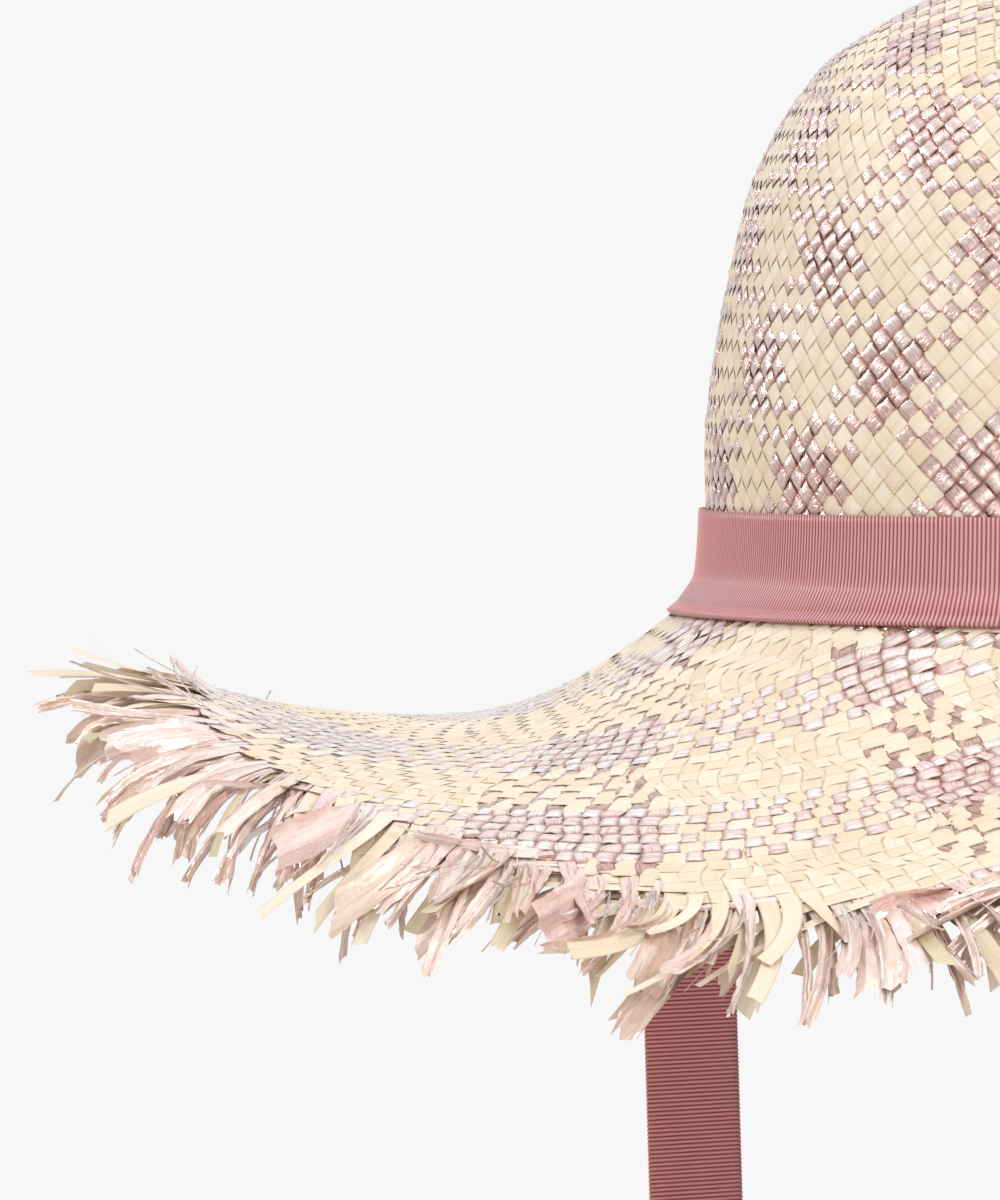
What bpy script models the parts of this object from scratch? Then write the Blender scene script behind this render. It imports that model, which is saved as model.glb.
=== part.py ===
"""Wide-brimmed woven hat: crown and brim in one woven piece, a frayed rim, a ribbon band, two ties.

Units are metres, +Z is up. The origin is the middle of the head opening, level with the lower edge
of the band, and the front of the hat faces -Y. An azimuth is measured in degrees from the front
towards -X, so 90 is the side with the first tie and -90 the side with the other.
"""
import math
import random

import bmesh
import bpy
from mathutils import Vector

# Driving dimensions
WALL = 0.0016              # thickness of the plaited strips, two layers
SIDES = 64                 # facets round the hat
CROWN_TOP = 0.1450         # height of the crown's middle
PIECE_GAP = 0.0003         # clearance between touching pieces
BAND_HEIGHT = 0.0233       # the band reaches from the break of the brim up to here
RIBBON = 0.0009            # thickness of the grosgrain ribbon
TIE_WIDTH = 0.025
TIE_BOTTOM = -0.4000       # height of a tie's cut end
TIE_CUT = 0.0120           # how much lower the slanted end's outer corner hangs
TIE_SIDE = 0.0893          # distance of a hanging tie's line from the middle, at the origin's level
TIE_LEAN = 0.030           # how far it leans inward for each metre down, in metres
TIE_TURN = 56.0            # degrees that a tie turns its face to the front below the crown
TIE_CLEARANCE = 0.0009     # from the crown's inner surface to the middle of the sewn ribbon
TIE_FREE_FROM = 0.0100     # height below which a tie hangs free
TIE_SWING = 0.0240         # height over which it swings out to its hanging line
TIE_TWIST = 0.0700         # height over which it turns to the front
FRINGE_LOCKS = 96          # locks round the rim
FRINGE_FILL = 0.70         # share of the rim that their roots take
FRINGE_BACKING = 0.0030    # width of the strip that the locks stand on
FRINGE_LENGTH = 0.0340     # mean length of a lock
FRINGE_SPREAD = 0.0045     # how much longer or shorter a lock may be
FRINGE_SKEW = 7.0          # degrees that a lock may lean sideways

# Crown sections: height, half width of the outer surface, depth divided by width
CROWN_SECTIONS = [
    (0.0000, 0.0913, 1.160),
    (0.0027, 0.0882, 1.163),
    (0.0070, 0.0854, 1.167),
    (0.0120, 0.0844, 1.170),
    (0.0233, 0.0838, 1.170),
    (0.0380, 0.0840, 1.165),
    (0.0540, 0.0822, 1.160),
    (0.0690, 0.0797, 1.155),
    (0.0830, 0.0770, 1.150),
    (0.0955, 0.0734, 1.145),
    (0.1060, 0.0685, 1.140),
    (0.1150, 0.0628, 1.135),
    (0.1230, 0.0560, 1.130),
    (0.1305, 0.0449, 1.120),
    (0.1362, 0.0344, 1.110),
    (0.1412, 0.0210, 1.100),
]

# Brim stations every 22.5 degrees from the front to the back, the same on both sides:
# rim radius, rim height, slope down at the band, slope up at the rim, fringe's droop below the rim
STATION_STEP = 22.5
BRIM_STATIONS = [
    (0.1850, -0.0435, 55.0, -24.0, 24.0),
    (0.1885, -0.0515, 55.0, -25.0, 10.0),
    (0.1910, -0.0415, 53.0, -13.0, 34.0),
    (0.1920, -0.0285, 51.0, 2.0, 18.0),
    (0.1924, -0.0170, 50.0, 15.0, 3.0),
    (0.1920, -0.0235, 49.0, 3.0, 18.0),
    (0.1915, -0.0330, 51.0, -9.0, 30.0),
    (0.1910, -0.0385, 53.0, -17.0, 24.0),
    (0.1905, -0.0390, 54.0, -19.0, 26.0),
]
BREAK_REACH = 0.37         # pull of the slope at the band, as a share of the brim's plan width
RIM_REACH = 0.44           # pull of the slope at the rim, likewise
BREAK_FLARE = 1.5          # how much further that first pull reaches outward than down
TIE_ROWS = [0.019, 0.015, 0.010, 0.006, 0.002, -0.002, -0.006, -0.010, -0.014, -0.020, -0.027,
            -0.034, -0.042, -0.050, -0.060, -0.080, -0.140, -0.220, -0.310]
BRIM_ROWS = [0.07, 0.15, 0.24, 0.34, 0.45, 0.56, 0.67, 0.78, 0.89, 1.0]


def material(name, colour, roughness, metallic=0.0):
    shader = bpy.data.materials.new(name)
    shader.use_nodes = True
    principled = shader.node_tree.nodes["Principled BSDF"]
    principled.inputs["Base Color"].default_value = (*colour, 1.0)
    principled.inputs["Roughness"].default_value = roughness
    principled.inputs["Metallic"].default_value = metallic
    return shader


def make_object(name, mesh_data, shader):
    mesh = bpy.data.meshes.new(name)
    mesh_data.to_mesh(mesh)
    mesh_data.free()
    mesh.materials.append(shader)
    mesh.shade_smooth()
    mesh.set_sharp_from_angle(angle=math.radians(40))
    made = bpy.data.objects.new(name, mesh)
    bpy.context.scene.collection.objects.link(made)
    return made


def catmull(before, start, end, after, t):
    """Smooth curve through start and end, with its slopes set by the values on either side."""
    return start + 0.5 * t * (end - before + t * (2 * before - 5 * start + 4 * end - after
                                                  + t * (3 * (start - end) + after - before)))


def station(azimuth, column):
    """One column of the brim table at any azimuth, mirrored at the front and at the back."""
    last = len(BRIM_STATIONS) - 1
    place = abs((azimuth + 180.0) % 360.0 - 180.0) / STATION_STEP
    lower = min(int(place), last - 1)
    rows = [abs(lower - 1), lower, lower + 1, last - abs(last - lower - 2)]
    return catmull(*(BRIM_STATIONS[row][column] for row in rows), place - lower)


def outward(azimuth):
    turn = math.radians(azimuth)
    return Vector((-math.sin(turn), -math.cos(turn), 0.0))


def oval(azimuth, half_width, depth_ratio):
    """Distance from the axis to an ellipse that is longer from front to back."""
    turn = math.radians(azimuth)
    return half_width / math.hypot(math.sin(turn), math.cos(turn) / depth_ratio)


def crown_point(azimuth, section):
    height, half_width, depth_ratio = section
    return outward(azimuth) * oval(azimuth, half_width, depth_ratio) + Vector((0, 0, height))


def brim_controls(azimuth):
    """The four control points, distance out and height, of the brim's profile at an azimuth."""
    start = oval(azimuth, *CROWN_SECTIONS[0][1:])
    rim_radius, rim_height, break_slope, rim_slope = (station(azimuth, n) for n in range(4))
    width = rim_radius - start
    down = math.radians(break_slope)
    up = math.radians(rim_slope)
    return ((start, 0.0),
            (start + BREAK_REACH * BREAK_FLARE * width * math.cos(down),
             -BREAK_REACH * width * math.sin(down)),
            (rim_radius - RIM_REACH * width * math.cos(up),
             rim_height - RIM_REACH * width * math.sin(up)),
            (rim_radius, rim_height))


def brim_point(azimuth, t):
    weights = ((1 - t) ** 3, 3 * t * (1 - t) ** 2, 3 * t * t * (1 - t), t ** 3)
    controls = brim_controls(azimuth)
    distance = sum(weight * control[0] for weight, control in zip(weights, controls))
    height = sum(weight * control[1] for weight, control in zip(weights, controls))
    return outward(azimuth) * distance + Vector((0, 0, height))


def loft(rows, ring_rows=True, tube=False):
    """Quads through rows of points; ring_rows closes each row, tube joins the last to the first."""
    sheet = bmesh.new()
    lines = [[sheet.verts.new(point) for point in row] for row in rows]
    count = len(rows[0])
    if tube:
        lines.append(lines[0])
    for upper, lower in zip(lines, lines[1:]):
        for n in range(count if ring_rows else count - 1):
            after = (n + 1) % count
            sheet.faces.new((upper[n], lower[n], lower[after], upper[after]))
    bmesh.ops.recalc_face_normals(sheet, faces=sheet.faces)
    return sheet, lines


def thicken(made, thickness, offset):
    """Give a sheet its thickness: offset -1 grows it to the inside, 1 to the outside."""
    solidify = made.modifiers.new("thickness", 'SOLIDIFY')
    solidify.thickness = thickness
    solidify.offset = offset
    solidify.use_even_offset = True


def azimuths(count):
    """Evenly spaced azimuths round the hat."""
    return [360.0 * n / count for n in range(count)]


def make_woven_body(shader):
    rows = [[crown_point(azimuth, section) for azimuth in azimuths(SIDES)]
            for section in reversed(CROWN_SECTIONS)]
    rows += [[brim_point(azimuth, t) for azimuth in azimuths(SIDES)] for t in BRIM_ROWS]
    sheet, rings = loft(rows)
    middle = sheet.verts.new((0.0, 0.0, CROWN_TOP))
    top = rings[0]
    for n in range(SIDES):
        sheet.faces.new((middle, top[n], top[(n + 1) % SIDES]))
    bmesh.ops.recalc_face_normals(sheet, faces=sheet.faces)
    body = make_object("woven_body", sheet, shader)
    thicken(body, WALL, -1.0)


def crown_normal(azimuth, row):
    """Direction out of the crown's surface at a row of the section table."""
    step = 1.0
    around = (crown_point(azimuth + step, CROWN_SECTIONS[row])
              - crown_point(azimuth - step, CROWN_SECTIONS[row]))
    below = crown_point(azimuth, CROWN_SECTIONS[row - 1]) if row else brim_point(azimuth, 0.05)
    up = crown_point(azimuth, CROWN_SECTIONS[row + 1]) - below
    return up.cross(around).normalized()


def make_band(shader):
    band_rows = [n for n, section in enumerate(CROWN_SECTIONS) if section[0] <= BAND_HEIGHT]
    rows = [[crown_point(azimuth, CROWN_SECTIONS[row]) + crown_normal(azimuth, row) * PIECE_GAP
             for azimuth in azimuths(SIDES)] for row in reversed(band_rows)]
    sheet, _ = loft(rows)
    band = make_object("hat_band", sheet, shader)
    thicken(band, RIBBON, 1.0)


def fringe_frame(azimuth):
    """Rim point with the directions out along the brim, across it upward, and round the rim."""
    rim = brim_point(azimuth, 1.0)
    out = (rim - brim_point(azimuth, 0.98)).normalized()
    round_rim = (brim_point(azimuth + 0.5, 1.0) - brim_point(azimuth - 0.5, 1.0)).normalized()
    up = round_rim.cross(out).normalized()
    if up.z < 0:
        up = -up
    return rim, out, up, round_rim


def backing_corners(azimuth):
    """Corners of the backing's section: inner top, outer top, outer bottom, inner bottom."""
    rim, out, up, _ = fringe_frame(azimuth)
    inner = rim + out * PIECE_GAP
    outer = inner + out * FRINGE_BACKING
    return inner, outer, outer - up * WALL, inner - up * WALL


def add_lock(sheet, root, azimuth, length, skew, droop):
    """Draw one lock out of a face of the backing in two lengths, the second one drooping more."""
    _, out, up, round_rim = fringe_frame(azimuth)
    face = root
    for share, bend, narrow, thin in ((0.45, 0.5, 0.92, 0.75), (0.55, 1.3, 0.80, 0.65)):
        drawn = bmesh.ops.extrude_discrete_faces(sheet, faces=[face])
        face = drawn["faces"][0]
        angle = math.radians(droop * bend)
        lean = math.radians(skew)
        step = (out * math.cos(angle) - up * math.sin(angle)) * math.cos(lean)
        step += round_rim * math.sin(lean)
        centre = face.calc_center_median()
        for vertex in face.verts:
            spoke = vertex.co - centre
            wide = round_rim * spoke.dot(round_rim) * narrow
            deep = up * spoke.dot(up) * thin
            vertex.co = centre + wide + deep + step * length * share


def make_fringe(shader):
    draw = random.Random(7)
    pitch = 360.0 / FRINGE_LOCKS
    edges = [pitch * (n + share) for n in range(FRINGE_LOCKS) for share in (0.0, FRINGE_FILL)]
    sections = [backing_corners(azimuth) for azimuth in edges]
    sheet, _ = loft([[section[n] for section in sections] for n in range(4)], tube=True)
    sheet.faces.ensure_lookup_table()
    roots = sheet.faces[len(edges):2 * len(edges)][::2]
    for n, root in enumerate(roots):
        azimuth = pitch * (n + 0.5 * FRINGE_FILL)
        length = FRINGE_LENGTH + draw.uniform(-1, 1) * FRINGE_SPREAD
        skew = draw.uniform(-1, 1) * FRINGE_SKEW
        droop = station(azimuth, 4) + draw.uniform(-4, 4)
        add_lock(sheet, root, azimuth, length, skew, droop)
    bmesh.ops.recalc_face_normals(sheet, faces=sheet.faces)
    make_object("brim_fringe", sheet, shader)


def smooth_step(value):
    share = min(max(value, 0.0), 1.0)
    return share * share * (3.0 - 2.0 * share)


def tie_point(side, across, height):
    """Point on a tie: sewn along the crown's curve, then swinging out and turning to the front."""
    wall_half = CROWN_SECTIONS[4][1] - WALL - TIE_CLEARANCE
    wall_depth = wall_half * CROWN_SECTIONS[4][2]
    free = smooth_step((TIE_FREE_FROM - height) / TIE_SWING)
    turn = math.radians(TIE_TURN) * smooth_step((TIE_FREE_FROM - height) / TIE_TWIST)
    sewn = wall_half * math.sqrt(1 - (across / wall_depth) ** 2)
    hanging = TIE_SIDE + TIE_LEAN * height
    distance = sewn * (1 - free) + hanging * free - across * math.sin(turn)
    return Vector((side * distance, across * math.cos(turn), height))


def make_tie(name, side, shader):
    columns = [TIE_WIDTH * (n / 4 - 0.5) for n in range(5)]
    rows = [[tie_point(side, across, height) for across in columns] for height in TIE_ROWS]
    rows.append([tie_point(side, across, TIE_BOTTOM + TIE_CUT * (across / TIE_WIDTH - 0.5))
                 for across in columns])
    sheet, _ = loft(rows, ring_rows=False)
    tie = make_object(name, sheet, shader)
    thicken(tie, RIBBON, 0.0)


def main():
    for old in list(bpy.data.objects):
        bpy.data.objects.remove(old, do_unlink=True)
    straw = material("paper_straw", (0.86, 0.76, 0.60), 0.7)
    foil = material("frayed_straw", (0.82, 0.62, 0.55), 0.5)
    rose = material("rose_grosgrain", (0.55, 0.22, 0.21), 0.75)
    make_woven_body(straw)
    make_fringe(foil)
    make_band(rose)
    make_tie("tie_right", -1, rose)
    make_tie("tie_left", 1, rose)


main()
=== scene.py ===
"""Looks of the fringed hat: every plaited strip, the frayed ends, the ribbons, and a plain studio.

Metres, +Z up, front of the hat to -Y. An azimuth is in degrees from the front towards -X. The shape
tables repeat the ones that the solids were built from.
"""
import math

import bpy
import numpy as np
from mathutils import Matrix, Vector


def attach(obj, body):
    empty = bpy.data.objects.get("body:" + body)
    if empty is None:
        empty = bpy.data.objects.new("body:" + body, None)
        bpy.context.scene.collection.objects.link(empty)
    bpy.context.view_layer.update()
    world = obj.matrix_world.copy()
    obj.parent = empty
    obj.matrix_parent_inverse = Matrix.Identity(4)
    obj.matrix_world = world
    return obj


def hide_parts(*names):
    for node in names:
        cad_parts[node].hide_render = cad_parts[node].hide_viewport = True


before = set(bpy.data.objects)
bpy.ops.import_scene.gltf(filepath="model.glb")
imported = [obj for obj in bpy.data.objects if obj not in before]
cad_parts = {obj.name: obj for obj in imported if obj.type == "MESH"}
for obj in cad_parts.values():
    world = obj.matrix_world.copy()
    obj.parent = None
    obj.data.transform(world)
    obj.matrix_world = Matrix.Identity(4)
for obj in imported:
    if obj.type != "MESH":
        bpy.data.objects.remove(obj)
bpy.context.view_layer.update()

# Crown sections: height, half width of the outer surface, depth divided by width
CROWN_SECTIONS = [
    (0.0000, 0.0913, 1.160),
    (0.0027, 0.0882, 1.163),
    (0.0070, 0.0854, 1.167),
    (0.0120, 0.0844, 1.170),
    (0.0233, 0.0838, 1.170),
    (0.0380, 0.0840, 1.165),
    (0.0540, 0.0822, 1.160),
    (0.0690, 0.0797, 1.155),
    (0.0830, 0.0770, 1.150),
    (0.0955, 0.0734, 1.145),
    (0.1060, 0.0685, 1.140),
    (0.1150, 0.0628, 1.135),
    (0.1230, 0.0560, 1.130),
    (0.1305, 0.0449, 1.120),
    (0.1362, 0.0344, 1.110),
    (0.1412, 0.0210, 1.100),
    (0.1450, 0.0000, 1.090),
]

# Brim stations every 22.5 degrees from the front to the back, the same on both sides:
# rim radius, rim height, slope down at the band, slope up at the rim, fringe's droop below the rim
STATION_STEP = 22.5
BRIM_STATIONS = np.array([
    (0.1850, -0.0435, 55.0, -24.0, 24.0),
    (0.1885, -0.0515, 55.0, -25.0, 10.0),
    (0.1910, -0.0415, 53.0, -13.0, 34.0),
    (0.1920, -0.0285, 51.0, 2.0, 18.0),
    (0.1924, -0.0170, 50.0, 15.0, 3.0),
    (0.1920, -0.0235, 49.0, 3.0, 18.0),
    (0.1915, -0.0330, 51.0, -9.0, 30.0),
    (0.1910, -0.0385, 53.0, -17.0, 24.0),
    (0.1905, -0.0390, 54.0, -19.0, 26.0),
])
BREAK_REACH = 0.37         # pull of the slope at the band, as a share of the brim's plan width
RIM_REACH = 0.44           # pull of the slope at the rim, likewise
BREAK_FLARE = 1.5          # how much further that first pull reaches outward than down

# Plait
SKIN = 0.0006              # depth of the plait's middle below the solid's outer surface
PATCH = 25                 # strips across each half of the square at the top of the crown
AROUND = 4 * PATCH         # strips of each direction round the crown
PATCH_REACH = 0.0755       # way from the crown's middle down to the patch's edge
WALL_ROWS = 40             # rows of crossings from there to the head opening
CROWN_TURN = 0.0           # degrees that the whole plait is turned
CROWN_REPEATS = 12         # repeats of cream and pink round the crown
CROWN_PHASE = 0.4          # strips by which the repeat is shifted
# Lean of the brim's two directions of strips away from the radius: mean radius, A, B
BRIM_LEAN = np.array([
    (0.0985, 42.0, 50.0),
    (0.1150, 36.0, 58.0),
    (0.1300, 30.0, 63.0),
    (0.1580, 30.0, 64.5),
    (0.1910, 30.0, 66.5),
])
STRIP_PITCH = 0.0042       # width that a strip of direction A takes on the brim
PAIRS = 70                 # pairs of A strips that come in between the first ones on the way out
PAIR_STRIDE = 27           # steps round the hat from one such pair to the next
PAIR_GROWTH = 0.14         # share of the brim's profile over which a new strip reaches full width
A_REPEATS = 10             # repeats of cream and pink round the brim in direction A
B_REPEATS = 8              # and in direction B
A_PHASE = 4.8              # strips by which the repeat is shifted
B_PHASE = 6.7
PINK_SHARE = 0.48

WALL = 0.0016              # thickness of the solid crown and brim
PIECE_GAP = 0.0003
RIBBON = 0.0009            # thickness of the grosgrain
RIB_PITCH = 0.00094
RIB_DEPTH = 0.00012        # half of the height from groove to crest
SCALLOP = 0.00012          # how far the selvedge stands back between two ribs, twice
BAND_HEIGHT = 0.0233
BAND_GIRTH = 0.580
TIE_WIDTH = 0.025
TIE_TOP = 0.0190
TIE_BOTTOM = -0.4000
TIE_CUT = 0.0120
TIE_SIDE = 0.0893
TIE_LEAN = 0.030
TIE_TURN = 56.0
TIE_CLEARANCE = 0.0009
TIE_FREE_FROM = 0.0100
TIE_SWING = 0.0240
TIE_TWIST = 0.0700

# Fringe
FRINGE_LENGTH = 0.0330
LENGTH_SPREAD = 0.0060
TUFTS = 52                 # tufts round the rim, whose ends lean and droop alike
TUFT_SWING = 0.26
TUFT_DROOP = 0.20
MIXED_SHARE = 0.42         # paper ends that are hidden by foil from the layer below
UNDER_SHARE = 0.75         # ends that have another one below them, in each layer
UNDER_FALLS = (0.25, 0.60)             # how much more the ends of the layers below droop
UNDER_DROP = 0.0007        # how far below each layer is
UNDER_FOIL = 0.70          # share of foil among those
STRIP_WIDTHS = (0.0028, 0.0043)        # freed paper strips
FOIL_WIDTHS = (0.0018, 0.0110)         # freed foil strips, opened; few are wide
WIDE_RARITY = 3.2          # how rare the wide ones are: the power of an even draw
FIBRE_WIDTH = 0.0005
FIBRES = 3                 # beside each foil end
# How the freed ends lie by azimuth, in radians: swing to the wearer's left of the ends of direction
# A and of direction B, and droop past that of the table above
SWINGS = np.array([
    (0.0, 0.30, 0.30, 0.00),
    (17.0, 0.10, 0.30, -0.05),
    (27.0, -0.80, -0.25, -0.25),
    (43.0, -0.85, -0.35, -0.20),
    (53.0, -0.60, -0.10, 0.30),
    (62.0, -0.40, 0.10, 0.55),
    (74.0, -0.45, 0.00, 0.35),
    (92.0, -0.10, 0.00, 0.00),
    (180.0, 0.20, 0.10, 0.00),
    (270.0, 0.10, 0.10, 0.00),
])

UNDER_WIDTH = 1.0          # width of a strip where it dips under, as a share of its pitch
CROWN_WAIST = 0.98         # narrowing of paper between over and under, which leaves small holes
BRIM_WAIST = 1.06
SPREAD_B = 1.80            # width of a cream B strip where it lies over a pink A strip
SPREAD_A = 1.22            # and of a cream A strip over a pink B strip
RAISED_PAPER = 2.2         # height of a cream B strip over a pink A strip, as a share of its usual one
PRESSED_FOIL = 0.3         # height of a pink A strip over a cream B strip, likewise
# How a strip lies: share of its pitch that it fills, height of its middle over the plait's middle
# where it lies on top, crown across it, points across it, and roughness
PAPER = {"fill": 0.96, "depth": 0.00022, "bulge": 0.00010, "columns": 3, "rough": 0.00002}
BRIM_PAPER = {"fill": 0.98, "depth": 0.00015, "bulge": 0.00006, "columns": 3, "rough": 0.00002}
FOIL = {"fill": 0.98, "depth": 0.00042, "bulge": 0.00034, "columns": 5, "rough": 0.00006}
BRIM_FOIL = {"fill": 1.00, "depth": 0.00030, "bulge": 0.00028, "columns": 5, "rough": 0.00006}


def catmull(before, start, end, after, t):
    """Smooth curve through start and end, with its slopes set by the values on either side."""
    return start + 0.5 * t * (end - before + t * (2 * before - 5 * start + 4 * end - after
                                                  + t * (3 * (start - end) + after - before)))


def outward(azimuth):
    turn = np.radians(azimuth)
    return np.stack([-np.sin(turn), -np.cos(turn), np.zeros_like(turn)], axis=-1)


def oval(azimuth, half_width, depth_ratio):
    """Distance from the axis to an ellipse that is longer from front to back."""
    turn = np.radians(azimuth)
    return half_width / np.hypot(np.sin(turn), np.cos(turn) / depth_ratio)


def at_height(azimuth, distance, height):
    point = outward(azimuth) * distance[..., None]
    point[..., 2] = height
    return point


def crown_profile():
    """Finely stepped crown sections from the top down, and the way along them."""
    rows = np.array(CROWN_SECTIONS[::-1])
    over_top = rows[1] * (1, -1, 1)
    under = 2 * rows[-1] - rows[-2]
    rows = np.vstack([over_top, rows, under])
    steps = np.arange(16)[:, None] / 16
    spans = [catmull(*rows[n:n + 4], steps) for n in range(len(rows) - 3)]
    table = np.vstack(spans + [rows[-2:-1]])
    reach = oval(np.full(len(table), 45.0), table[:, 1], table[:, 2])
    way = np.hypot(np.diff(reach), np.diff(table[:, 0]))
    return table, np.concatenate([[0.0], np.cumsum(way)])


PROFILE, PROFILE_WAY = crown_profile()
ROW_STEP = (PROFILE_WAY[-1] - PATCH_REACH) / WALL_ROWS


def crown_surface(azimuth, way):
    """Point of the crown's outer surface at an azimuth and a way down from the top."""
    height, half_width, ratio = (np.interp(way, PROFILE_WAY, PROFILE[:, n]) for n in range(3))
    return at_height(azimuth, oval(azimuth, half_width, ratio), height)


def station(azimuth, column):
    """One column of the brim table at any azimuth, mirrored at the front and at the back."""
    last = len(BRIM_STATIONS) - 1
    place = np.abs((azimuth + 180.0) % 360.0 - 180.0) / STATION_STEP
    lower = np.minimum(place.astype(int), last - 1)
    rows = [np.abs(lower - 1), lower, lower + 1, last - np.abs(last - lower - 2)]
    return catmull(*(BRIM_STATIONS[row, column] for row in rows), place - lower)


def brim_surface(azimuth, t):
    """Point of the brim's upper surface; t runs from the head opening to the rim."""
    start = oval(azimuth, *CROWN_SECTIONS[0][1:])
    rim_radius, rim_height, break_slope, rim_slope = (station(azimuth, n) for n in range(4))
    width = rim_radius - start
    down = np.radians(break_slope)
    up = np.radians(rim_slope)
    controls = [(start, 0.0),
                (start + BREAK_REACH * BREAK_FLARE * width * np.cos(down),
                 -BREAK_REACH * width * np.sin(down)),
                (rim_radius - RIM_REACH * width * np.cos(up),
                 rim_height - RIM_REACH * width * np.sin(up)),
                (rim_radius, rim_height)]
    weights = ((1 - t) ** 3, 3 * t * (1 - t) ** 2, 3 * t * t * (1 - t), t ** 3)
    distance = sum(weight * control[0] for weight, control in zip(weights, controls))
    height = sum(weight * control[1] for weight, control in zip(weights, controls))
    return at_height(azimuth, distance, height)


def unit(vectors):
    return vectors / np.maximum(np.linalg.norm(vectors, axis=-1, keepdims=True), 1e-12)


def skin(surface, azimuth, place, step):
    """Points in the middle of the plait, and the normals there, out of the hat."""
    around = surface(azimuth + 0.05, place) - surface(azimuth - 0.05, place)
    along = surface(azimuth, place + step) - surface(azimuth, place - step)
    normal = unit(np.cross(around, along))
    return surface(azimuth, place) - normal * SKIN, normal


class Piece:
    """Ribbons gathered into one mesh, with what the materials read at each point."""

    def __init__(self):
        self.points = []
        self.quads = []
        self.marks = []
        self.count = 0
        self.area = 0.0
        self.width = 0.0
        self.longest = 0.0

    def add(self, grid, marks, ring=False, tube=False):
        """Rows and columns of points as quads; ring joins the last column to the first, tube rows."""
        rows, columns = grid.shape[:2]
        index = self.count + np.arange(rows * columns).reshape(rows, columns)
        index = np.concatenate([index, index[:, :1]], axis=1) if ring else index
        index = np.concatenate([index, index[:1]]) if tube else index
        self.quads.append(np.stack([index[:-1, :-1], index[:-1, 1:], index[1:, 1:], index[1:, :-1]],
                                   axis=-1).reshape(-1, 4))
        self.points.append(grid.reshape(-1, 3))
        self.marks.append(marks.reshape(-1, 4))
        self.count += rows * columns
        length = np.linalg.norm(np.diff(grid[:, columns // 2], axis=0), axis=1).sum()
        width = np.linalg.norm(grid[:, -1] - grid[:, 0], axis=1).mean()
        self.area += length * width
        self.width += width
        self.longest = max(self.longest, length)

    def build(self, name, material, slot):
        points = np.concatenate(self.points)
        quads = np.concatenate(self.quads)
        mesh = bpy.data.meshes.new(name)
        mesh.vertices.add(len(points))
        mesh.vertices.foreach_set("co", points.astype(np.float32).ravel())
        mesh.loops.add(quads.size)
        mesh.loops.foreach_set("vertex_index", quads.astype(np.int32).ravel())
        mesh.polygons.add(len(quads))
        mesh.polygons.foreach_set("loop_start", np.arange(0, quads.size, 4, dtype=np.int32))
        mesh.update(calc_edges=True)
        mesh.validate()
        marks = np.concatenate(self.marks).astype(np.float32)
        strip = mesh.attributes.new("strip", "FLOAT_VECTOR", "POINT")
        strip.data.foreach_set("vector", marks[:, :3].ravel())
        over = mesh.attributes.new("over", "FLOAT", "POINT")
        over.data.foreach_set("value", marks[:, 3].copy())
        mesh.shade_smooth()
        mesh.materials.append(material)
        made = bpy.data.objects.new(name, mesh)
        bpy.context.scene.collection.objects.link(made)
        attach(made, "root")
        return made


def ribbon(piece, style, centre, normal, half, over, start, tone, draw):
    """One strip along its centre; over is 1 where it lies on top, -1 below, and between them."""
    columns = np.linspace(-1, 1, style["columns"])
    forward = unit(np.gradient(centre, axis=0))
    across = unit(np.cross(normal, forward))
    half = half * style["fill"]
    jitter = draw.normal(0, style["rough"], (len(centre), len(columns)))
    lift = style["depth"] * over[:, None] + style["bulge"] * over[:, None] * (0.4 - columns ** 2) + jitter
    aside = half[:, None] * columns + draw.normal(0, style["rough"] * 2, jitter.shape)
    grid = centre[:, None] + across[:, None] * aside[..., None] + normal[:, None] * lift[..., None]
    length = np.linalg.norm(np.diff(centre, axis=0), axis=1)
    along = start + np.concatenate([[0.0], np.cumsum(length)])
    marks = np.stack([np.repeat(along[:, None], len(columns), 1),
                      np.tile(columns, (len(centre), 1)),
                      np.full(jitter.shape, tone),
                      np.repeat(over[:, None], len(columns), 1)], axis=-1)
    piece.add(grid, marks)


OFFSETS = np.array([0.0, 0.28, 0.5, 0.72])
OVER_AT = np.array([1.0, 0.78, 0.0, -0.78])


def between(crossings):
    """Finer places along a strip from its crossings, and how far over or under it is there."""
    step = np.diff(crossings)
    places = (crossings[:-1, None] + step[:, None] * OFFSETS).ravel()
    side = 1 - 2 * (np.arange(len(step)) % 2)
    over = (side[:, None] * OVER_AT).ravel()
    last = 1 - 2 * (len(step) % 2)
    return np.append(places, crossings[-1]), np.append(over, last)


def each_place(values, narrowing=1.0):
    """Values given at the crossings, at each place of between(); halfway the larger one counts more."""
    larger = np.maximum(values[:-1], values[1:])
    waist = (0.5 * larger + 0.25 * (values[:-1] + values[1:])) * narrowing
    cells = np.stack([values[:-1], values[:-1], waist, values[1:]], axis=1)
    return np.append(cells.ravel(), values[-1])


def on_top(other_pink, over_first):
    return over_first * (1 - 2 * (np.arange(len(other_pink)) % 2)) > 0


def cell_widths(pink, other_pink, is_b, over_first, narrowing):
    """Width of a strip at each place: paper spreads where it lies over foil."""
    spread = 1.0 if pink else np.where(is_b, SPREAD_B, SPREAD_A)
    width = np.where(on_top(other_pink, over_first), np.where(other_pink, spread, 1.0), UNDER_WIDTH)
    return each_place(width, 1.0 if pink else narrowing)


def cell_lifts(pink, other_pink, is_b, over_first):
    """Share of its height that a brim strip has at each place: spread paper rides over pressed foil."""
    lift = np.ones(len(other_pink))
    if pink and not is_b:
        lift = np.where(on_top(other_pink, over_first) & ~other_pink, PRESSED_FOIL, 1.0)
    if is_b and not pink:
        lift = np.where(on_top(other_pink, over_first) & other_pink, RAISED_PAPER, 1.0)
    return each_place(lift)


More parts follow.
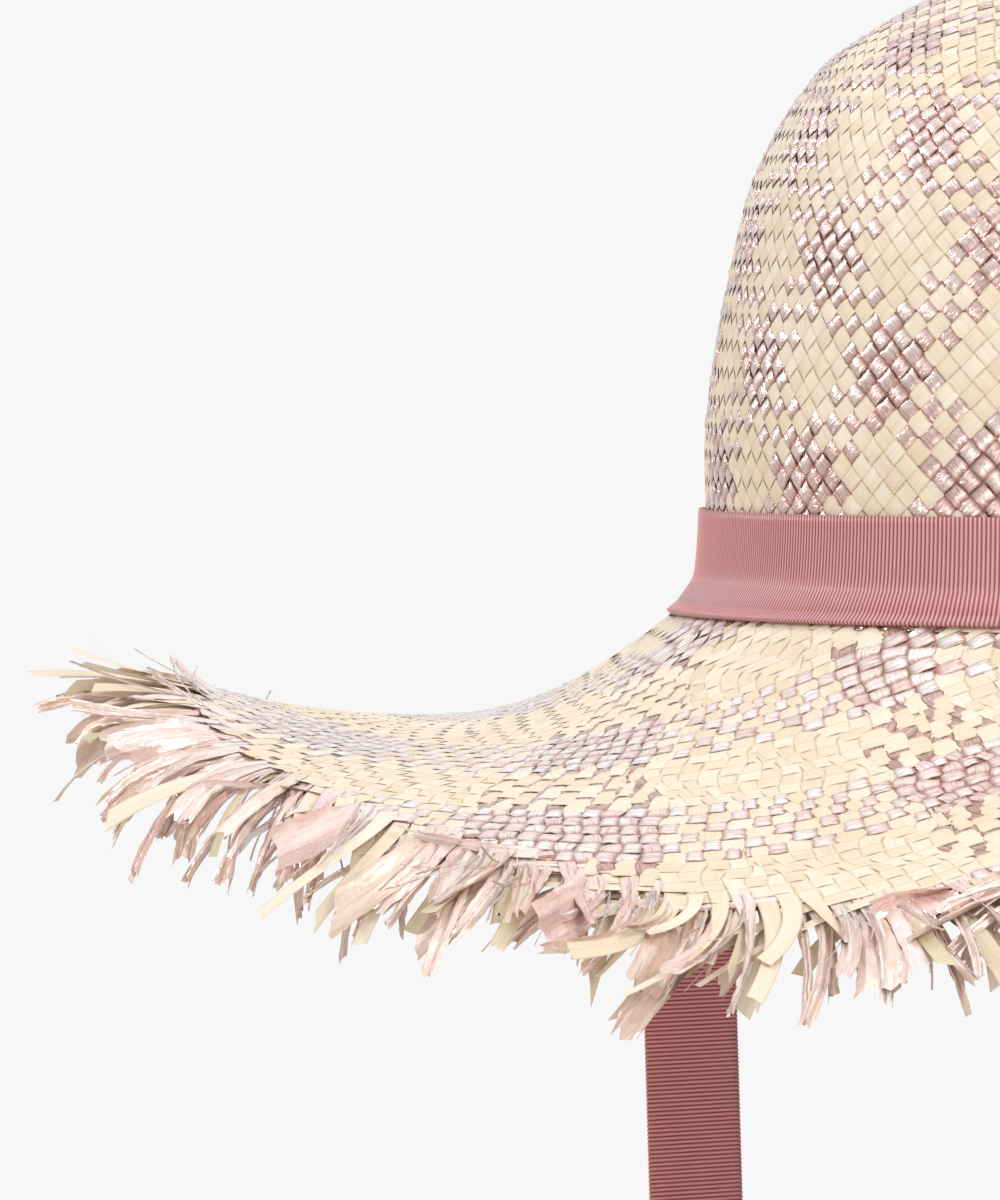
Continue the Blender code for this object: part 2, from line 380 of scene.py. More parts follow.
def crown_place(x, y):
    """Azimuth and way down of a point of the flat plait; past the patch it is on the wall."""
    across, deep = np.abs(x), np.abs(y)
    rank = np.maximum(across + deep, 1e-6)
    sector = np.where(x < 0, np.where(y < 0, 0, 1), np.where(y > 0, 2, 3))
    first = np.where(sector % 2 == 0, across, deep)
    square = 90.0 * (sector + first / rank)
    side, tilt = (x + y) / PATCH, (y - x) / PATCH
    disc_side = side * np.sqrt(np.maximum(1 - tilt ** 2 / 2, 0))
    disc_tilt = tilt * np.sqrt(np.maximum(1 - side ** 2 / 2, 0))
    round_way = np.hypot(disc_side, disc_tilt)
    soft = np.degrees(np.arctan2(disc_tilt - disc_side, -disc_side - disc_tilt))
    share = np.clip(rank / PATCH, 0, 1) ** 4
    turn = (soft - square + 180.0) % 360.0 - 180.0
    on_patch = square + turn * (1 - share)
    reach = (round_way * (1 - share) + rank / PATCH * share) * PATCH_REACH
    other = np.where(sector % 2 == 0, deep, across)
    on_wall = 90.0 * sector + 90.0 * (first - other + PATCH) / (2 * PATCH)
    wall = rank > PATCH
    way = np.where(wall, PATCH_REACH + (rank - PATCH) * ROW_STEP, reach)
    return np.where(wall, on_wall, on_patch) + CROWN_TURN, way


def is_pink(number, phase, repeats):
    return ((number + phase) * repeats / AROUND) % 1.0 < PINK_SHARE


def crown_pink(x_fixed, number):
    """Whether a strip of the flat plait is pink; number is its signed place, x_fixed its direction."""
    rank = np.abs(number) - 0.5
    quarter = np.where(number < 0, 0, 2) if x_fixed else np.where(number < 0, 3, 1)
    return is_pink(rank + quarter * PATCH, CROWN_PHASE, CROWN_REPEATS)


def plait_crown(cream, pink, draw):
    numbers = np.arange(-PATCH, PATCH) + 0.5
    for lengthwise in (True, False):
        for number in numbers:
            reach = PATCH - abs(number) + WALL_ROWS
            crossings = np.arange(-reach, reach + 0.5)
            places, over = between(crossings)
            parity = int(number - 0.5 + crossings[0] - 0.5) % 2
            over = over * (1 if (parity == 0) == lengthwise else -1)
            beside = number + 0.05 * np.sign(number)
            lines = [(np.full(len(places), value), places) for value in (number, beside)]
            if not lengthwise:
                lines = [(y, x) for x, y in lines]
            centre, normal = skin(crown_surface, *crown_place(*lines[0]), 0.0002)
            near, _ = skin(crown_surface, *crown_place(*lines[1]), 0.0002)
            across = unit(np.cross(normal, unit(np.gradient(centre, axis=0))))
            half = 0.5 * np.abs(np.sum((near - centre) * across, axis=1)) / 0.05
            own_pink = bool(crown_pink(lengthwise, number))
            other_pink = crown_pink(not lengthwise, crossings)
            half = half * cell_widths(own_pink, other_pink, False, over[0], CROWN_WAIST)
            piece, style = (pink, FOIL) if own_pink else (cream, PAPER)
            ribbon(piece, style, centre, normal, half, over, 0.0, draw.uniform(), draw)


def brim_mean():
    """Steps of t with the mean radius, the mean way, and the twist of both directions in degrees."""
    t = np.linspace(0, 1, 401)
    around = np.arange(0, 360, 7.5)
    spread = np.stack([brim_surface(np.full_like(t, azimuth), t) for azimuth in around])
    radius = np.linalg.norm(spread[..., :2], axis=-1).mean(0)
    height = spread[..., 2].mean(0)
    way = np.hypot(np.diff(radius), np.diff(height))
    middle = (radius[1:] + radius[:-1]) / 2
    leans = [np.radians(np.interp(radius, BRIM_LEAN[:, 0], BRIM_LEAN[:, n])) for n in (1, 2)]
    twists = []
    for lean in leans:
        slope = (np.tan(lean)[1:] + np.tan(lean)[:-1]) / 2
        twists.append(np.degrees(np.concatenate([[0.0], np.cumsum(slope * way / middle)])))
    return t, radius, leans[0], twists[0], twists[1]


def smooth_step(value):
    share = np.clip(value, 0.0, 1.0)
    return share * share * (3.0 - 2.0 * share)


def a_strips():
    """Every strip of direction A: number among the first ones, birth, and its edges' azimuths by t."""
    t, radius, lean, twist, _ = brim_mean()
    needed = 2 * math.pi * radius * np.cos(lean) / STRIP_PITCH
    births = np.interp(AROUND + 2 * (np.arange(PAIRS) + 0.5), needed, t)
    births = births[(np.arange(PAIRS) * PAIR_STRIDE) % PAIRS]
    spots = ((np.arange(PAIRS) + 0.5) * AROUND / PAIRS).astype(int)
    numbers, starts = [], []
    for number in range(AROUND):
        numbers.append(number)
        starts.append(-1.0)
        for birth in births[spots == number]:
            numbers += [number + 0.4, number + 0.6]
            starts += [birth, birth]
    numbers, starts = np.array(numbers), np.array(starts)
    weights = np.where(starts[:, None] < 0, 1.0, smooth_step((t - starts[:, None]) / PAIR_GROWTH))
    edges = np.vstack([np.zeros_like(t), np.cumsum(weights, axis=0)])
    azimuth = 360.0 * edges / edges[-1] - twist - 180.0 * WALL_ROWS / AROUND + CROWN_TURN
    return t, numbers, starts, azimuth


def brim_lattice():
    """Crossings of the brim: for each A strip the t and the B number of each, in order outward."""
    t, numbers, starts, edges = a_strips()
    twist = brim_mean()[4]
    pitch = 360.0 / AROUND
    first_b = (0.5 + WALL_ROWS / 2) * pitch + CROWN_TURN
    middles = (edges[:-1] + edges[1:]) / 2
    ranks = (middles - first_b - twist) / pitch
    found = []
    for n in range(len(numbers)):
        top = int(round(ranks[n, 0])) if starts[n] < 0 else None
        if top is None:
            pair = n if starts[n - 1] != starts[n] or numbers[n] - numbers[n - 1] > 0.3 else n - 1
            later = np.searchsorted(t, starts[n])
            top = math.floor(min(ranks[pair, later], ranks[pair + 1, later]))
        low = math.ceil(ranks[n, -1])
        crossed = np.arange(top, low - 1, -1)
        places = np.interp(-crossed, -ranks[n], t)
        found.append((crossed, places))
    return t, numbers, edges, middles, twist, found


def brim_ribbon(piece, style, crossings, over_first, widths, lifts, azimuth_at, wide_at, draw):
    places, over = between(crossings)
    azimuth = azimuth_at(places)
    wide = wide_at(places)
    centre, normal = skin(brim_surface, azimuth, places, 0.002)
    near, _ = skin(brim_surface, azimuth + 0.2 * wide, places, 0.002)
    across = unit(np.cross(normal, unit(np.gradient(centre, axis=0))))
    half = 0.5 * np.abs(np.sum((near - centre) * across, axis=1)) / 0.2 * widths
    over = over * over_first * lifts
    ribbon(piece, style, centre, normal, half, over, 0.0, draw.uniform(), draw)
    return {"azimuth": azimuth[-1], "root": centre[-1] + normal[-1] * style["depth"] * over[-1],
            "forward": unit(centre[-1] - centre[-2]), "normal": normal[-1], "half": half[-1],
            "pink": style is BRIM_FOIL}


def plait_brim(cream, pink, draw):
    t, numbers, edges, middles, twist, found = brim_lattice()
    pitch = 360.0 / AROUND
    threads = {}
    loose = []
    for n, (crossed, places) in enumerate(found):
        ends = np.append(places, 1.0)
        over = 1 if (n - crossed[0]) % 2 == 0 else -1
        own_pink = is_pink(math.floor(numbers[n]), A_PHASE, A_REPEATS)
        other_pink = is_pink(np.append(crossed, crossed[-1] - 1) % AROUND, B_PHASE, B_REPEATS)
        widths = cell_widths(own_pink, other_pink, False, over, BRIM_WAIST)
        lifts = cell_lifts(own_pink, other_pink, False, over)
        colour = (pink, BRIM_FOIL) if own_pink else (cream, BRIM_PAPER)
        end = brim_ribbon(*colour, ends, over, widths, lifts,
                          lambda p, n=n: np.interp(p, t, middles[n]),
                          lambda p, n=n: np.interp(p, t, edges[n + 1] - edges[n]), draw)
        loose.append(end | {"sideways": False})
        for b, place in zip(crossed, places):
            threads.setdefault(b % AROUND, []).append((place, n, b))
    for b, met in sorted(threads.items()):
        met.sort()
        ends = np.array([place for place, _, _ in met] + [1.0])
        over = -1 if (met[0][1] - met[0][2]) % 2 == 0 else 1
        own_pink = is_pink(b, B_PHASE, B_REPEATS)
        firsts = np.floor(numbers[[n for _, n, _ in met] + [met[-1][1]]])
        other_pink = is_pink(firsts, A_PHASE, A_REPEATS)
        widths = cell_widths(own_pink, other_pink, True, over, BRIM_WAIST)
        lifts = cell_lifts(own_pink, other_pink, True, over)
        colour = (pink, BRIM_FOIL) if own_pink else (cream, BRIM_PAPER)
        first = (b + 0.5 + WALL_ROWS / 2) * pitch + CROWN_TURN
        end = brim_ribbon(*colour, ends, over, widths, lifts,
                          lambda p, a=first: a + np.interp(p, t, twist),
                          lambda p: np.full_like(p, pitch), draw)
        loose.append(end | {"sideways": True})
    return loose


def turned(vector, axis, angle):
    """A vector turned round a unit axis, angle in radians."""
    return (vector * math.cos(angle) + np.cross(axis, vector) * math.sin(angle)
            + axis * np.dot(axis, vector) * (1 - math.cos(angle)))


def loose_line(end, length, swing, droop, roll, steps):
    """Centre and normals of a freed strip: it swings sideways, droops and turns on its own axis."""
    forward, normal, point = end["forward"], end["normal"], end["root"]
    centre, normals = [point], [normal]
    for n in range(steps):
        share = (n + 1) / steps
        forward = turned(forward, normal, swing / steps)
        down = np.array([0.0, 0.0, -1.0])
        pull = down - forward * np.dot(down, forward)
        forward = unit(forward + pull * droop / steps * (0.3 + 1.4 * share))
        normal = unit(normal - forward * np.dot(normal, forward))
        normal = turned(normal, forward, roll / steps)
        point = point + forward * length / steps
        centre.append(point)
        normals.append(normal)
    return np.array(centre), np.array(normals)


def flat_end(piece, end, length, width, swing, droop, roll, tone, draw):
    """A freed paper strip or a fibre: flat, softly curved, cut a little aslant."""
    steps = 12
    columns = np.linspace(-1, 1, 3)
    centre, normals = loose_line(end, length, swing, droop, roll, steps)
    forward = unit(np.gradient(centre, axis=0))
    across = unit(np.cross(normals, forward))
    share = np.linspace(0, 1, steps + 1)
    half = end["half"] * (1 - smooth_step(share * 4)) + width / 2 * smooth_step(share * 4)
    cup = draw.normal(0, 0.16)
    cut = draw.normal(0, 0.35) * width
    grid = centre[:, None] + across[:, None] * (half[:, None] * columns)[..., None]
    grid += normals[:, None] * (half[:, None] * cup * share[:, None] * columns ** 2)[..., None]
    grid[-1] += forward[-1] * (cut * columns)[:, None]
    add_loose(piece, grid, length, columns, tone)


def foil_end(piece, end, length, width, swing, droop, roll, tone, draw):
    """A freed foil strip: opened wide, softly pleated along its length, and torn at the tip."""
    steps = 14
    columns = np.linspace(-1, 1, 9)
    centre, normals = loose_line(end, length, swing, droop, roll, steps)
    forward = unit(np.gradient(centre, axis=0))
    across = unit(np.cross(normals, forward))
    share = np.linspace(0, 1, steps + 1)
    opened = smooth_step(share * 2.0)
    half = end["half"] * (1 - opened) + width / 2 * opened
    folds = draw.uniform(1.0, 2.4)
    pleats = 0.0007 * np.sin(math.pi * folds * columns + draw.uniform(0, 2 * math.pi))
    wander = draw.normal(0, 0.00014, (steps + 1, len(columns)))
    lift = (pleats + wander) * opened[:, None]
    aside = half[:, None] * columns + draw.normal(0, 0.00012, lift.shape)
    grid = centre[:, None] + across[:, None] * aside[..., None] + normals[:, None] * lift[..., None]
    torn = draw.normal(0, 0.30) * width * columns + draw.normal(0, 0.0009, len(columns))
    grid += forward[:, None] * (share[:, None] ** 4 * torn)[..., None]
    add_loose(piece, grid, length, columns, tone)


def add_loose(piece, grid, length, columns, tone):
    rows = len(grid)
    along = np.repeat(np.linspace(0, length, rows)[:, None], len(columns), 1)
    marks = np.stack([along, np.tile(columns, (rows, 1)), np.full(along.shape, tone),
                      np.ones_like(along)], axis=-1)
    piece.add(grid, marks)


def freed_end(end, foil, lean, droop, layer, cream, pink, draw):
    """One freed strip; the tones of the layers below begin at 1, those of the top layer at 0; from 1 up the tones
    are painted shade.
    """
    length = FRINGE_LENGTH + draw.normal(0, LENGTH_SPREAD)
    swing = lean + draw.normal(0, 0.34)
    fall = droop * draw.uniform(0.5, 1.5) + draw.normal(0, 0.14)
    # The layers below take the darker half of the tones, which is painted shade
    tone = draw.uniform() + min(layer, 1)
    if foil:
        width = FOIL_WIDTHS[0] + (FOIL_WIDTHS[1] - FOIL_WIDTHS[0]) * draw.uniform() ** WIDE_RARITY
        foil_end(pink, end, length, width, swing, fall, draw.normal(0, 0.8), tone, draw)
    else:
        width = draw.uniform(*STRIP_WIDTHS)
        flat_end(cream, end, length, width, swing, fall, draw.normal(0, 0.5), tone, draw)


def fibre(end, lean, droop, pink, draw):
    length = FRINGE_LENGTH * draw.uniform(0.5, 1.1)
    swing = lean + draw.normal(0, 0.35)
    fall = droop + draw.normal(0, 0.35)
    thin = end | {"half": FIBRE_WIDTH / 2}
    flat_end(pink, thin, length, FIBRE_WIDTH, swing, fall, draw.normal(0, 0.8), draw.uniform(), draw)


def fray(loose, cream, pink, draw):
    """The freed ends of all strips: paper stays flat, foil opens, and fine fibres stand off it."""
    tufts = np.arange(TUFTS) * 360.0 / TUFTS
    tuft_lean = draw.normal(0, TUFT_SWING, TUFTS)
    tuft_fall = draw.normal(0, TUFT_DROOP, TUFTS)
    for end in loose:
        azimuth = end["azimuth"]
        droop = math.radians(float(station(np.array([azimuth]), 4)[0]))
        droop += float(np.interp(azimuth, tufts, tuft_fall, period=360.0))
        column = 2 if end["sideways"] else 1
        lean, more = (float(np.interp(azimuth, SWINGS[:, 0], SWINGS[:, n], period=360.0))
                      for n in (column, 3))
        droop += more
        lean += float(np.interp(azimuth, tufts, tuft_lean, period=360.0))
        foil = draw.uniform() < MIXED_SHARE or end["pink"]
        freed_end(end, foil, lean, droop, 0, cream, pink, draw)
        for layer, fall in enumerate(UNDER_FALLS, 1):
            if draw.uniform() < UNDER_SHARE:
                below = end | {"root": end["root"] - end["normal"] * UNDER_DROP * layer}
                under_foil = draw.uniform() < UNDER_FOIL
                freed_end(below, under_foil, lean + 0.15, droop + fall, layer, cream, pink, draw)
        for extra in range(FIBRES if foil else 0):
            fibre(end, lean, droop, pink, draw)


RIB = np.array([1.0, 0.55, -1.0, 0.55])


def make_band(material):
    """The ribbon round the crown: upright ribs, plain selvedges, folded over its own thickness."""
    ribs = round(BAND_GIRTH / RIB_PITCH)
    azimuth = np.arange(ribs * 4) * 360.0 / (ribs * 4)
    bump = np.tile(RIB, ribs)
    top = float(np.interp(-BAND_HEIGHT, -PROFILE[:, 0], PROFILE_WAY))
    ways = np.linspace(top, PROFILE_WAY[-1], 16)
    shares = np.linspace(0, 1, 16)
    piece = Piece()
    rows = []
    for way, share in zip(ways, shares):
        place = np.full_like(azimuth, way)
        point = crown_surface(azimuth, place)
        around = crown_surface(azimuth + 0.05, place) - crown_surface(azimuth - 0.05, place)
        along = crown_surface(azimuth, place) - crown_surface(azimuth, place - 0.0006)
        normal = unit(np.cross(around, along))
        edge = min(share, 1 - share) * BAND_HEIGHT
        flat = 0.35 if edge < 0.0009 else 1.0
        height = PIECE_GAP + RIBBON - RIB_DEPTH + RIB_DEPTH * flat * bump
        rows.append((point, normal, height))
    outer = [point + normal * height[:, None] for point, normal, height in rows]
    inner = [point + normal * PIECE_GAP for point, normal, _ in rows]
    grid = np.stack([inner[0]] + outer + [inner[-1], inner[8]])
    across = np.concatenate([[-1.0], shares * 2 - 1, [1.0, 0.0]])
    along = azimuth * BAND_GIRTH / 360.0
    marks = np.stack([np.tile(along, (len(grid), 1)), np.repeat(across[:, None], len(along), 1),
                      np.zeros((len(grid), len(along))), np.ones((len(grid), len(along)))], axis=-1)
    piece.add(grid, marks, ring=True, tube=True)
    band = piece.build("band_ribbon", material, "ribbon")
    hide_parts("hat_band")


def tie_point(side, across, height):
    """Point on a tie: sewn along the crown's curve, then swinging out and turning to the front."""
    wall_half = CROWN_SECTIONS[4][1] - WALL - TIE_CLEARANCE
    wall_depth = wall_half * CROWN_SECTIONS[4][2]
    free = smooth_step((TIE_FREE_FROM - height) / TIE_SWING)
    turn = math.radians(TIE_TURN) * smooth_step((TIE_FREE_FROM - height) / TIE_TWIST)
    sewn = wall_half * np.sqrt(1 - (across / wall_depth) ** 2)
    hanging = TIE_SIDE + TIE_LEAN * height
    distance = sewn * (1 - free) + hanging * free - across * np.sin(turn)
    return np.stack([side * distance, across * np.cos(turn), height], axis=-1)


def make_tie(name, side, material):
    """A grosgrain tie with a rib every pitch on both faces and a scalloped selvedge."""
    ribs = round((TIE_TOP - TIE_BOTTOM) / RIB_PITCH)
    share = np.arange(ribs * 4 + 1) / (ribs * 4)
    bump = np.append(np.tile(RIB, ribs), RIB[0])
    columns = np.linspace(-1, 1, 9)
    half = TIE_WIDTH / 2 + SCALLOP * (bump - 1)
    across = half[:, None] * columns
    slant = TIE_CUT * (across / TIE_WIDTH - 0.5) * smooth_step((share[:, None] - 0.9) / 0.1)
    height = TIE_TOP + (TIE_BOTTOM - TIE_TOP) * share[:, None] + slant
    middle = tie_point(side, across, height)
    down = unit(np.gradient(middle, axis=0))
    over = unit(np.gradient(middle, axis=1))
    normal = unit(np.cross(down, over))
    thick = RIBBON / 2 - RIB_DEPTH + RIB_DEPTH * bump[:, None] * np.where(abs(columns) > 0.95, 0.3, 1)
    loop = np.concatenate([middle + normal * thick[..., None],
                           (middle - normal * thick[..., None])[:, ::-1]], axis=1)
    ends = np.concatenate([middle, middle[:, ::-1]], axis=1)
    loop = np.concatenate([ends[:1], loop, ends[-1:]])
    share = np.concatenate([share[:1], share, share[-1:]])
    along = np.repeat((share * (TIE_TOP - TIE_BOTTOM))[:, None], loop.shape[1], 1)
    cross = np.tile(np.concatenate([columns, columns[::-1]]), (len(share), 1))
    piece = Piece()
    marks = np.stack([along, cross, np.zeros_like(along), np.ones_like(along)], axis=-1)
    piece.add(loop, marks, ring=True)
    tie = piece.build(name + "_ribbon", material, "ribbon")
    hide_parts(name)


def node_material(name):
    material = bpy.data.materials.new(name)
    material.use_nodes = True
    tree = material.node_tree
    return material, tree, tree.nodes["Principled BSDF"]


def linear(red, green, blue):
    """A colour seen on a screen, 0 to 255, as the linear values that shaders take."""
    return tuple((value / 255) ** 2.2 for value in (red, green, blue)) + (1.0,)


def node(tree, kind, inputs, **settings):
    """A shader node; each input is a value or another node's output."""
    made = tree.nodes.new(kind)
    for name, value in settings.items():
        setattr(made, name, value)
    for name, value in inputs.items():
        if isinstance(value, bpy.types.NodeSocket):
            tree.links.new(value, made.inputs[name])
        else:
            made.inputs[name].default_value = value
    return made


def math_node(tree, operation, first, second=0.0):
    return node(tree, "ShaderNodeMath", {0: first, 1: second}, operation=operation).outputs[0]


def ramp(tree, value, stops):
    """Colours between stops, each a place and a colour."""
    made = node(tree, "ShaderNodeValToRGB", {"Fac": value})
    elements = made.color_ramp.elements
    elements[0].position, elements[0].color = stops[0]
    elements[1].position, elements[1].color = stops[-1]
    for place, colour in stops[1:-1]:
        elements.new(place).color = colour
    return made.outputs["Color"]


def grey(value):
    return (value, value, value, 1.0)


def multiply(tree, first, second):
    inputs = {"Fac": 1.0, "Color1": first, "Color2": second}
    return node(tree, "ShaderNodeMixRGB", inputs, blend_type='MULTIPLY').outputs["Color"]


def strip_noise(tree, along, across, detail):
    """Noise in a strip's own directions: features per metre along it and per half width across."""
    place = node(tree, "ShaderNodeAttribute", {}, attribute_name="strip").outputs["Vector"]
    scaled = node(tree, "ShaderNodeVectorMath", {0: place, 1: (along, across, 90.0)}, operation='MULTIPLY')
    inputs = {"Vector": scaled.outputs["Vector"], "Scale": 1.0, "Detail": detail, "Roughness": 0.6}
    return node(tree, "ShaderNodeTexNoise", inputs).outputs["Fac"]


def strip_parts(tree):
    """How far along a strip, how far from its middle line (0 to 1), and half of the strip's tone."""
    place = node(tree, "ShaderNodeAttribute", {}, attribute_name="strip").outputs["Vector"]
    parts = node(tree, "ShaderNodeSeparateXYZ", {"Vector": place})
    aside = math_node(tree, 'ABSOLUTE', parts.outputs["Y"])
    return parts.outputs["X"], aside, math_node(tree, 'MULTIPLY', parts.outputs["Z"], 0.5)


def bump(tree, shader, layers):
    """Bumps on top of each other; each layer is a height and its distance in metres."""
    normal = None
    for height, distance in layers:
        inputs = {"Height": height, "Strength": 1.0, "Distance": distance}
        if normal:
            inputs["Normal"] = normal
        normal = node(tree, "ShaderNodeBump", inputs).outputs["Normal"]
    tree.links.new(normal, shader.inputs["Normal"])


def cream_material():
    """Flat paper strips: fine lines along them, painted shade along the edges, and a slightly different tone each.
    """
    material, tree, shader = node_material("cream_paper")
    fibres = strip_noise(tree, 90.0, 7.0, 4.0)
    patches = strip_noise(tree, 45.0, 0.6, 2.0)
    along, aside, tone = strip_parts(tree)
    base = ramp(tree, tone, PAPER_TONES)
    lines = ramp(tree, fibres, [(0.3, grey(0.86)), (0.5, grey(0.98)), (0.75, grey(1.0))])
    wear = ramp(tree, patches, [(0.35, (0.97, 0.93, 0.86, 1.0)), (0.6, grey(1.0))])
    # Painted shade along the strip's edges, where neighbouring strips shadow it
    edges = ramp(tree, aside, [(0.80, grey(1.0)), (1.0, (0.80, 0.72, 0.61, 1.0))])
    colour = multiply(tree, multiply(tree, multiply(tree, base, lines), wear), edges)
    tree.links.new(colour, shader.inputs["Base Color"])
    shader.inputs["Roughness"].default_value = 0.62
    shader.inputs["Specular IOR Level"].default_value = 0.35
    bump(tree, shader, [(fibres, 0.00008), (patches, 0.00025)])
    return material


def foil_material(name, tones, metallic, shade, edge, dip_shade):
    """Crinkled foil on paper: long facets, fine creases, and painted shade in the creases, along the edges and
    where the strip dips under.
    """
    material, tree, shader = node_material(name)
    facets = strip_noise(tree, 190.0, 1.6, 2.0)
    creases = strip_noise(tree, 150.0, 6.0, 3.0)
    along, aside, tone = strip_parts(tree)
    base = ramp(tree, tone, tones)
    # Painted shade in the creases
    crease_shade = ramp(tree, creases, [(0.26, shade), (0.50, grey(1.0))])
    # Painted shade along the strip's edges
    edges = ramp(tree, aside, [(0.74, grey(1.0)), (1.0, edge)])
    # Painted shade where the strip dips under other strips
    over = node(tree, "ShaderNodeAttribute", {}, attribute_name="over").outputs["Fac"]
    dip_shading = ramp(tree, over, [(0.10, dip_shade), (0.85, grey(1.0))])
    colour = multiply(tree, multiply(tree, multiply(tree, base, crease_shade), edges), dip_shading)
    tree.links.new(colour, shader.inputs["Base Color"])
    gloss = ramp(tree, creases, [(0.35, grey(0.34)), (0.6, grey(0.14))])
    tree.links.new(gloss, shader.inputs["Roughness"])
    shader.inputs["Metallic"].default_value = metallic
    shader.inputs["Coat Weight"].default_value = 0.5
    shader.inputs["Coat Roughness"].default_value = 0.15
    bump(tree, shader, [(facets, 0.0005), (creases, 0.00018)])
    return material


def ribbon_material(name, tones):
    """Grosgrain: silky threads, a painted highlight on the crests of the ribs, and painted shade in the grooves.
    """
    material, tree, shader = node_material(name)
    along, aside, tone = strip_parts(tree)
    turn = math_node(tree, 'MULTIPLY', along, 2 * math.pi / RIB_PITCH)
    rib = math_node(tree, 'MULTIPLY_ADD', math_node(tree, 'COSINE', turn), 0.5)
    rib.node.inputs[2].default_value = 0.5
    threads = strip_noise(tree, 900.0, 60.0, 3.0)
    patches = strip_noise(tree, 60.0, 1.2, 3.0)
    # Painted light on the ribs: shade in the grooves, a highlight on the crests
    ribs = ramp(tree, rib, tones)
    fibre = ramp(tree, threads, [(0.3, grey(0.86)), (0.7, grey(1.0))])
    shade = ramp(tree, patches, [(0.3, grey(0.94)), (0.7, grey(1.0))])
    tree.links.new(multiply(tree, multiply(tree, ribs, fibre), shade), shader.inputs["Base Color"])
    shader.inputs["Roughness"].default_value = 0.42
    shader.inputs["Specular IOR Level"].default_value = 0.7
    bump(tree, shader, [(threads, 0.00003)])
    return material


BRIGHT_SIDE = Vector((0.25, 0.50, 0.83))       # where the room is lightest


def world_light():
    """Plain backdrop for the camera; the light itself fades from the bright side to the far one."""
    world = bpy.data.worlds.new("studio")
    bpy.context.scene.world = world
    world.use_nodes = True
    tree = world.node_tree
    backdrop = tree.nodes["Background"]
    backdrop.inputs["Color"].default_value = grey(0.93)
    way = node(tree, "ShaderNodeTexCoord", {}).outputs["Generated"]
    facing = node(tree, "ShaderNodeVectorMath", {0: way, 1: BRIGHT_SIDE}, operation='DOT_PRODUCT').outputs["Value"]
    share = math_node(tree, 'MULTIPLY_ADD', facing, 0.5)
    share.node.inputs[2].default_value = 0.5
    glow = ramp(tree, share, [(0.0, (0.33, 0.29, 0.26, 1.0)), (0.25, (0.36, 0.31, 0.28, 1.0)), (0.75, (0.82, 0.84, 0.87, 1.0)),
                              (1.0, (0.97, 1.0, 1.04, 1.0))])
    light = node(tree, "ShaderNodeBackground", {"Color": glow, "Strength": 1.0}).outputs[0]
    seen = node(tree, "ShaderNodeLightPath", {}).outputs["Is Camera Ray"]
    mix = node(tree, "ShaderNodeMixShader", {"Fac": seen, 1: light, 2: backdrop.outputs[0]})
    tree.links.new(mix.outputs[0], tree.nodes["World Output"].inputs["Surface"])


# Lamps: name, place, size, watts
LAMPS = [("key", (1.0, -2.0, 1.2), 0.7, 22.5),
         ("side", (-2.3, 0.5, 1.2), 0.4, 16.0),
         ("low", (-1.0, -2.3, -0.2), 1.4, 13.0),
         ("top", (0.0, -0.3, 2.4), 1.4, 8.0)]


def lamps():
    for name, place, size, power in LAMPS:
        data = bpy.data.lights.new(name, 'AREA')
        data.size = size
        data.energy = power
        lamp = bpy.data.objects.new(name, data)
        lamp.location = place
        lamp.rotation_mode = 'QUATERNION'
        lamp.rotation_quaternion = (-Vector(place)).to_track_quat('-Z', 'Y')
        lamp.visible_camera = False
        bpy.context.scene.collection.objects.link(lamp)


FLOOR_HEIGHT = -0.45
FLOOR_RADIUS = 1.6


def floor():
    """A plain pale disc under the hanging ties."""
    turn = np.radians(np.arange(0, 360, 3))
    rim = np.stack([np.cos(turn), np.sin(turn), np.zeros_like(turn)], axis=-1) * FLOOR_RADIUS
    mesh = bpy.data.meshes.new("floor")
    mesh.from_pydata((rim + (0, 0, FLOOR_HEIGHT)).tolist(), [], [list(range(len(turn)))])
    material, tree, shader = node_material("pale_floor")
    grain = node(tree, "ShaderNodeTexNoise", {"Scale": 900.0, "Detail": 3.0}).outputs["Fac"]
    tint = ramp(tree, grain, [(0.3, grey(0.58)), (0.7, grey(0.61))])
    tree.links.new(tint, shader.inputs["Base Color"])
    shader.inputs["Roughness"].default_value = 0.85
    mesh.materials.append(material)
    made = bpy.data.objects.new("floor", mesh)
    bpy.context.scene.collection.objects.link(made)


EYE = Vector((-0.129, -2.0, 0.063))
LOOK_AT = Vector((-0.129, 0.0, 0.003))
LENS = 270.5
SENSOR = 36.0


def camera():
    data = bpy.data.cameras.new("view")
    data.sensor_width = SENSOR
    data.lens = LENS
    data.clip_end = 100.0
    eye = bpy.data.objects.new("view", data)
    eye.location = EYE
    eye.rotation_mode = 'QUATERNION'
    eye.rotation_quaternion = (LOOK_AT - EYE).to_track_quat('-Z', 'Y')
    bpy.context.scene.collection.objects.link(eye)
    bpy.context.scene.camera = eye


# Tones of the paper, from strip to strip; the upper half is painted shade for the ends below others
PAPER_TONES = [(0.0, linear(235, 219, 194)), (0.25, linear(240, 226, 205)), (0.5, linear(244, 233, 214)),
               (0.56, linear(236, 222, 198)), (1.0, linear(224, 211, 178))]

# Tones of the ribbons from groove to crest; the ties get darker tones, a painted shade for the brim's shadow
# The darker grooves and lighter crests are painted shade and painted highlight
BAND_TONES = [(0.0, linear(128, 68, 70)), (0.35, linear(192, 122, 122)), (1.0, linear(236, 170, 169))]
TIE_SHADED_TONES = [(0.0, linear(122, 54, 58)), (0.28, linear(200, 115, 113)), (1.0, linear(230, 148, 143))]

